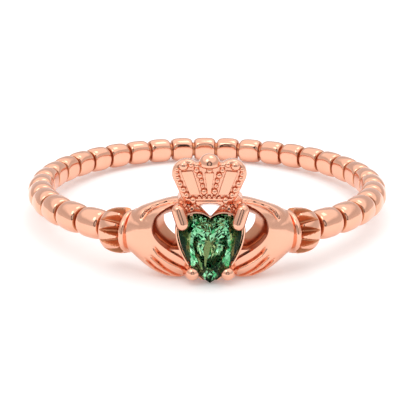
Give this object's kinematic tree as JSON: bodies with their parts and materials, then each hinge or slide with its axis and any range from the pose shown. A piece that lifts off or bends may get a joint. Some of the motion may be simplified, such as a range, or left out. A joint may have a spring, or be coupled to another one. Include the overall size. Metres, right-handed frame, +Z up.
{
  "type": "claddagh ring",
  "caption": "Finger ring of round metal beads: two hands between fluted sleeves hold a crowned, prong-set heart stone.",
  "frame": {"origin": "centre of the base of the box around the ring as it lies on its side", "axes": "+Z up, nearly along the finger hole; -Y towards the front of the heart; +X to the viewer's right"},
  "size_m": [0.02, 0.021, 0.0062],
  "materials": {
    "rose_gold": "polished",
    "green_stone": "polished facets"
  },
  "bodies": {
    "root": {"ring": "rose_gold", "heart_stone": "green_stone"}
  },
  "joints": []
}
